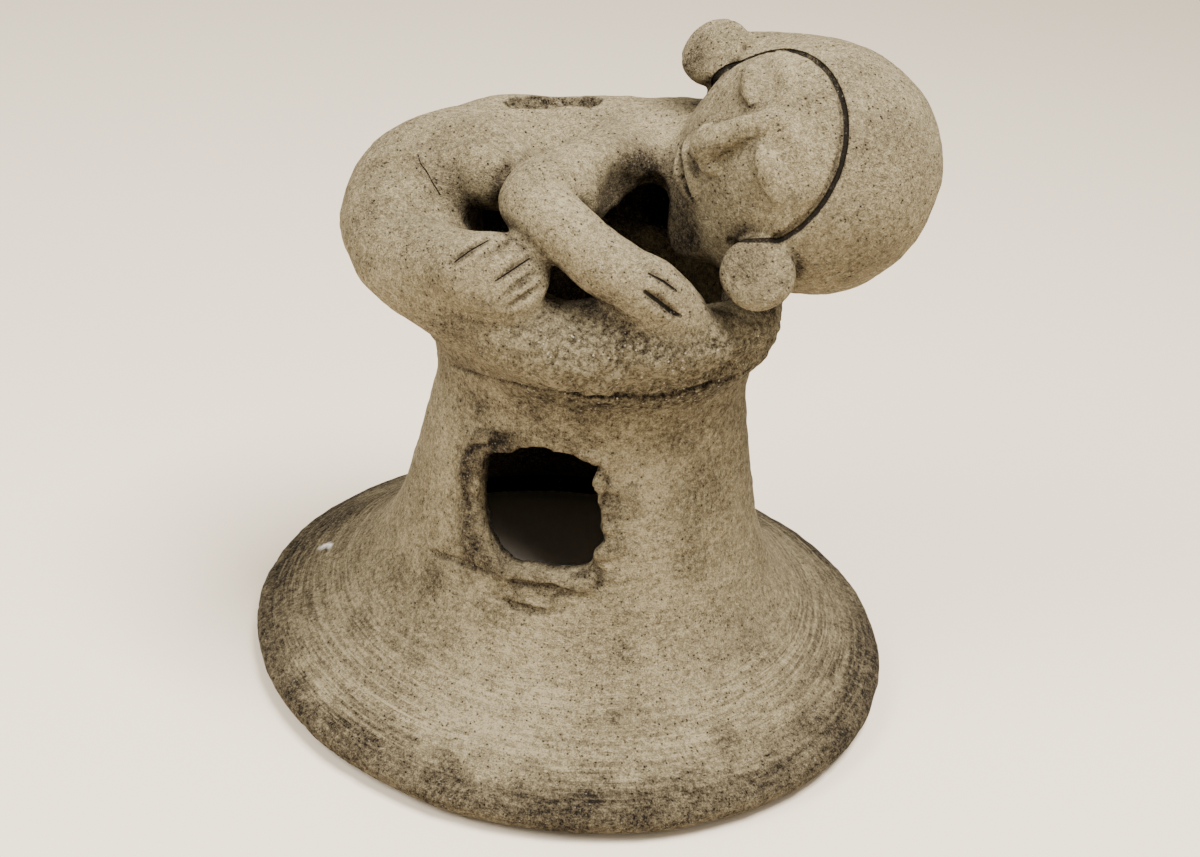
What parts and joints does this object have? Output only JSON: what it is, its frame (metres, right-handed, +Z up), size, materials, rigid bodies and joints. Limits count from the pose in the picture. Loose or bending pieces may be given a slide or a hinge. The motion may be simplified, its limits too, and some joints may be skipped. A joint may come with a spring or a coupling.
{
  "type": "incense burner",
  "caption": "Flared, hollow fired-clay stand with a windowed chimney, carrying a curled-up human figure with a cap and ear spools.",
  "frame": {"origin": "middle of the foot ring's underside", "axes": "+Z up the chimney, +X toward the figure's head, -Y toward the side with the window and the face"},
  "size_m": [0.3116, 0.3116, 0.3241],
  "materials": {
    "clay": "unglazed low-fired buff clay, matt, wiped by hand, with pits, soot and brown stains"
  },
  "bodies": {
    "root": {"incense_burner": "clay"}
  },
  "joints": []
}
